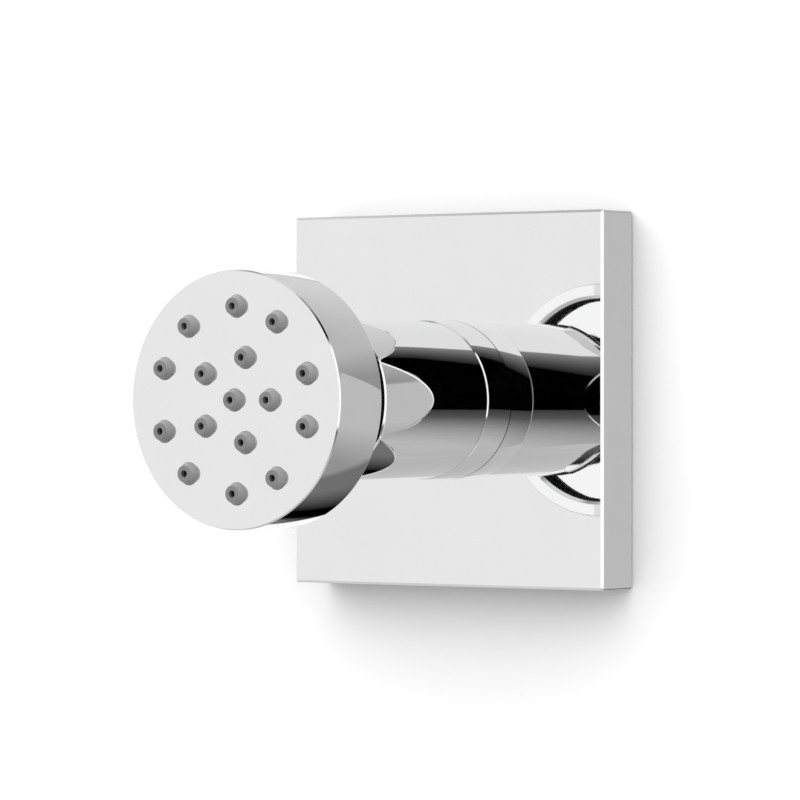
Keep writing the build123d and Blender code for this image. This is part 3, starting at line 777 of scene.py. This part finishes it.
def head_mesh():
    """Turned shell; the face and the wall behind it are flat sheets with the nozzle holes."""
    seg = 192
    bevel, hole_r, hole_seg = 0.20, NOZZLE_R + 0.015, 40
    rim_r = HEAD_R - bevel
    mid, half = (FACE_S + HEAD_BACK) / 2, (FACE_S - HEAD_BACK) / 2

    def side(s):
        return HEAD_R + HEAD_CROWN * (1 - ((s - mid) / half) ** 2)

    start, stop = HEAD_BACK + 0.45, FACE_S - bevel
    crowned = [(side(start + (stop - start) * i / 24), start + (stop - start) * i / 24) for i in range(25)]
    outline = [(HEAD_BORE, 54.85), (HEAD_BORE, FLOOR_S), (LIP_R - 0.5, HEAD_BACK + 0.5, 0.08), (LIP_R, HEAD_BACK, 0.10),
               (HEAD_R, HEAD_BACK, 0.25), *crowned, (rim_r, FACE_S), (5.0, FACE_S), (5.0, 54.85)]

    def crown_normal(v):
        s = -v.y - PLATE_T
        return Vector((1.0, -2 * HEAD_CROWN * (s - mid) / half ** 2)).normalized()

    def on_side(v):
        s = -v.y - PLATE_T
        return start - 1e-4 < s < stop + 1e-4 and abs(v.x - side(s)) < 1e-4
    edges = [(p, crown_normal(p), q, crown_normal(q)) if on_side(p) and on_side(q) else (p, n0, q, n1)
             for p, n0, q, n1 in turned(outline)]
    face_y, in_y = Y(FACE_S), Y(FACE_S - FACE_T)
    keep = [e for e in edges if not (
        (abs(e[0].y - face_y) < 1e-5 and abs(e[2].y - face_y) < 1e-5) or
        (abs(e[0].y - in_y) < 1e-5 and abs(e[2].y - in_y) < 1e-5) or
        (abs(e[0].x - 5.0) < 1e-5 and abs(e[2].x - 5.0) < 1e-5))]
    cs = [(math.cos(2 * math.pi * j / seg), math.sin(2 * math.pi * j / seg)) for j in range(seg)]
    verts, faces, normals, index, where = [], [], [], [], {}

    def vid(p):
        key = tuple(round(c + 0.0003, 3) for c in p)
        if key not in where:
            where[key] = len(verts)
            verts.append(p)
        return where[key]

    for p, n0, q, n1 in keep:
        dark = max(p.x, q.x) < LIP_R - 0.45 and max(p.y, q.y) < Y(HEAD_BACK + 0.46)     # painted shade: the hollow back's inner faces go near-black
        for j in range(seg):
            j2 = (j + 1) % seg
            f = (vid((p.x * cs[j][0], p.y, p.x * cs[j][1])), vid((q.x * cs[j][0], q.y, q.x * cs[j][1])),
                 vid((q.x * cs[j2][0], q.y, q.x * cs[j2][1])), vid((p.x * cs[j2][0], p.y, p.x * cs[j2][1])))
            faces.append(f)
            index.append(1 if dark else 0)
            for nn, jj in ((n0, j), (n1, j), (n1, j2), (n0, j2)):
                normals.append((nn.x * cs[jj][0], nn.y, nn.x * cs[jj][1]))

    def sheet_with_holes(radius, y, ny, hole):
        pts, loops = [], []
        loops.append(list(range(seg)))
        pts += [Vector((radius * c, radius * s)) for c, s in cs]
        for x, z in SPOTS:
            start = len(pts)
            pts += [Vector((x + hole * math.cos(-2 * math.pi * i / hole_seg),
                            z + hole * math.sin(-2 * math.pi * i / hole_seg))) for i in range(hole_seg)]
            loops.append(list(range(start, start + hole_seg)))
        ring_edges = [(lp[i], lp[(i + 1) % len(lp)]) for lp in loops for i in range(len(lp))]
        out = delaunay_2d_cdt(pts, ring_edges, [], 1, 1e-7)
        for tri in out[2]:
            cen = sum((out[0][i] for i in tri), Vector((0, 0))) / len(tri)
            if any(math.hypot(cen.x - x, cen.y - z) < hole * 0.9999 * math.cos(math.pi / hole_seg) for x, z in SPOTS):
                continue
            p3 = [(pts[out[3][i][0]].x, y, pts[out[3][i][0]].y) for i in tri]
            fn = (Vector(p3[1]) - Vector(p3[0])).cross(Vector(p3[2]) - Vector(p3[0]))
            if fn.y * ny < 0:
                p3.reverse()
            faces.append(tuple(vid(p) for p in p3))
            normals.extend([(0.0, ny, 0.0)] * 3)

    soft = 0.03
    sheet_with_holes(rim_r, face_y, -1.0, hole_r + soft)
    sheet_with_holes(HEAD_BORE, in_y, 1.0, hole_r)
    for x, z in SPOTS:
        prof = [(hole_r + soft * (1 - math.sin(math.pi / 2 * i / 3)), face_y + soft * (1 - math.cos(math.pi / 2 * i / 3)),
                 -math.sin(math.pi / 2 * i / 3), -math.cos(math.pi / 2 * i / 3)) for i in range(4)]
        prof.append((hole_r, in_y, -1.0, 0.0))
        for (r0, y0, a0, b0), (r1, y1, a1, b1) in zip(prof, prof[1:]):
            for i in range(hole_seg):
                t0, t1 = (-2 * math.pi * v / hole_seg for v in (i, i + 1))
                if i == hole_seg - 1:
                    t1 = 0.0
                c0, s0, c1, s1 = math.cos(t0), math.sin(t0), math.cos(t1), math.sin(t1)
                quad = [(x + r0 * c0, y0, z + r0 * s0), (x + r1 * c0, y1, z + r1 * s0),
                        (x + r1 * c1, y1, z + r1 * s1), (x + r0 * c1, y0, z + r0 * s1)]
                nn = [(a0 * c0, b0, a0 * s0), (a1 * c0, b1, a1 * s0), (a1 * c1, b1, a1 * s1), (a0 * c1, b0, a0 * s1)]
                fn = (Vector(quad[2]) - Vector(quad[0])).cross(Vector(quad[3]) - Vector(quad[1]))
                if fn.dot(Vector((a1 * c0, b1, a1 * s0))) < 0:
                    quad.reverse()
                    nn.reverse()
                faces.append(tuple(vid(p) for p in quad))
                normals.extend(nn)
    index += [0] * (len(faces) - len(index))
    return make_object("spray_head_shell", verts, faces, normals, [CHROME, PAINTED_SHADE_BLACK], index)


head = stands_for(head_mesh(), "spray_head", "head")

# ------------------------------------------------------------------ stage: pale wall behind, pale floor below
def stage_plane(name, corners, shade):
    me = bpy.data.meshes.new(name)
    me.from_pydata(corners, [], [tuple(range(len(corners)))])
    ob = bpy.data.objects.new(name, me)
    scene.collection.objects.link(ob)
    m = bpy.data.materials.new(name)
    m.use_nodes = True
    t = Tree(m.node_tree)
    out = t.new("ShaderNodeOutputMaterial")
    diff = t.new("ShaderNodeBsdfDiffuse")
    diff.inputs["Color"].default_value = (*shade, 1.0)
    clear = t.new("ShaderNodeBsdfTransparent")
    mixer = t.new("ShaderNodeMixShader")
    t.put(mixer.inputs[0], t.new("ShaderNodeNewGeometry").outputs["Backfacing"])
    t.put(mixer.inputs[1], diff.outputs[0])
    t.put(mixer.inputs[2], clear.outputs[0])
    t.put(out.inputs[0], mixer.outputs[0])
    me.materials.append(m)
    ob.visible_glossy = False
    return ob


wall = stage_plane("stage_wall", [(-2, 0.0004, -1.2), (2, 0.0004, -1.2), (2, 0.0004, 2.0), (-2, 0.0004, 2.0)], (0.86, 0.86, 0.86))
floor = stage_plane("stage_floor", [(-3, -3, -0.45), (3, -3, -0.45), (3, 3, -0.45), (-3, 3, -0.45)], (0.86, 0.86, 0.86))
floor.visible_diffuse = False

# ------------------------------------------------------------------ studio light
world = bpy.data.worlds.new("studio")
scene.world = world
world.use_nodes = True
w = Tree(world.node_tree)
w_out = w.new("ShaderNodeOutputWorld")
direction = w.new("ShaderNodeTexCoord").outputs["Generated"]
sep = w.new("ShaderNodeSeparateXYZ")
w.put(sep.inputs[0], direction)
dx, dy, dz = sep.outputs
DEG = 180 / math.pi
theta = w.math("MULTIPLY", w.math("ARCTAN2", dx, w.math("MULTIPLY", dy, -1.0)), DEG)  # 0 front, 90 right
elev = w.math("MULTIPLY", w.math("ARCSINE", dz), DEG)

tau = w.math("MULTIPLY", w.math("ARCTAN2", dx, dy), DEG)                              # 0 back, 90 right


def line(x, lo, hi, a=0.0, b=1.0):
    return w.ramp(x, lo, hi, a, b, smooth=False)


def plus(*terms):
    out = terms[0]
    for v in terms[1:]:
        out = w.math("ADD", out, v)
    return out


def times(*terms):
    out = terms[0]
    for v in terms[1:]:
        out = w.math("MULTIPLY", out, v)
    return out


# front: white screen on the left over a pale table, black card right of it, white screen at the far right
screen = plus(line(elev, -34, -18, 0.505, 0.61), w.ramp(elev, -18, -13.5, 0.0, 0.23), line(elev, 20, 36, 0.0, -0.04))
table = plus(line(elev, -14, -8.2, 0.09, 0.045), line(elev, -24.5, -14, 0.26, 0.0), line(elev, -33, -24.5, 0.17, 0.0))
card = times(w.math("POWER", line(theta, 7.6, 25.1, 1.0, 0.0), 1.5), w.ramp(theta, 21.9, 22.5, 0.25, 0.0))
card = w.mix(w.ramp(elev, -8.4, -7.8), table, card)
front = w.mix(w.ramp(theta, 7.2, 8.0), screen, card)
bright = plus(line(theta, 60, 76, 1.05, 0.78), line(theta, 100, 138, 0.0, -0.265))
bright = w.mix(w.ramp(elev, -20, -15), line(elev, -33, -17, 0.45, 0.10), bright)
below = times(w.ramp(theta, 65, 71), w.ramp(elev, -14, -9, 1.0, 0.0))
above = times(w.ramp(theta, 84, 96), w.ramp(elev, 10, 18), w.ramp(elev, 40, 46, 1.0, 0.0))
bright = w.mix(above, w.mix(below, bright, 1.0), 0.40)
front = w.mix(w.ramp(theta, 45, 48), front, bright)
# back: grey room, a slanted edge with a shaded part above it, a dark foot, white screen at the left
shaded = plus(line(elev, 12, 25, 0.30, 0.485), line(tau, -25, 26, 0.195, 0.0))
foot = w.mix(w.ramp(tau, 14.0, 19.5), line(tau, -18, 2, 0.0, 0.165), line(elev, -31, -14, 0.30, 0.515))
rear = w.mix(w.ramp(elev, -14, -10), foot, 0.515)
slant = w.math("MULTIPLY_ADD", tau, -1.22, plus(elev, 31.6))
slant = w.math("MAXIMUM", slant, w.math("MULTIPLY_ADD", tau, 2.28, plus(elev, -102.1)))
rear = w.mix(times(w.ramp(slant, -0.5, 0.5), w.ramp(elev, 3, 5)), rear, shaded)
rear = w.mix(times(w.ramp(tau, -18, -12, 1.0, 0.0), w.ramp(elev, 19, 21, 1.0, 0.0), w.ramp(elev, -24.5, -23)), rear, 1.0)
far = times(w.ramp(tau, -32, -24, 1.0, 0.0), plus(w.ramp(elev, -30, -22, 1.0, 0.0), w.ramp(elev, 24, 32)))
rear = w.mix(far, rear, 0.5)
# left side, and the ceiling over all of it
left = w.mix(w.ramp(tau, -150, -80), front, 0.80)
env = w.mix(w.ramp(theta, -0.5, 0.5), left, front)
env = w.mix(times(w.ramp(tau, 41, 46, 1.0, 0.0), w.ramp(tau, -60, -45)), env, rear)
crest = times(w.ramp(tau, 0, 10), w.ramp(tau, 70, 80, 1.0, 0.0), w.ramp(elev, 60, 66, 1.0, 0.0))
env = w.mix(w.ramp(elev, 46, 50), w.mix(w.ramp(elev, 48, 62), env, 0.35), w.mix(crest, w.mix(w.ramp(elev, 48, 62), env, 0.35), 0.76))
env = w.mix(w.ramp(elev, -50, -40, 1.0, 0.0), env, line(elev, -66, -58, 0.50, 0.64))
env = w.mix(w.ramp(elev, 64, 70), env, 0.72)

studio = w.new("ShaderNodeBackground")
studio.inputs["Color"].default_value = (1.0, 1.0, 1.0, 1.0)
w.put(studio.inputs["Strength"], env)
# the wall and the rubber are lit by an even dome, stronger from above
dome = w.new("ShaderNodeBackground")
dome.inputs["Color"].default_value = (1.0, 1.0, 1.0, 1.0)
w.put(dome.inputs["Strength"], w.ramp(dz, -0.2, 0.6, 0.79, 2.46))
plain = w.new("ShaderNodeBackground")
plain.inputs["Color"].default_value = (1.0, 1.0, 1.0, 1.0)
path = w.new("ShaderNodeLightPath").outputs
lit = w.new("ShaderNodeMixShader")
w.put(lit.inputs[0], path["Is Diffuse Ray"])
w.put(lit.inputs[1], studio.outputs[0])
w.put(lit.inputs[2], dome.outputs[0])
w_mix = w.new("ShaderNodeMixShader")
w.put(w_mix.inputs[0], path["Is Camera Ray"])
w.put(w_mix.inputs[1], lit.outputs[0])
w.put(w_mix.inputs[2], plain.outputs[0])
w.put(w_out.inputs[0], w_mix.outputs[0])
world.cycles.sampling_method = "NONE"

scene.view_settings.view_transform = "Standard"
scene.view_settings.look = "None"
scene.view_settings.exposure = 0.0
scene.view_settings.gamma = 1.0
scene.cycles.max_bounces = 8
scene.cycles.glossy_bounces = 4
scene.cycles.diffuse_bounces = 2
scene.cycles.caustics_reflective = False
scene.cycles.sample_clamp_indirect = 6.0
scene.cycles.use_denoising = True
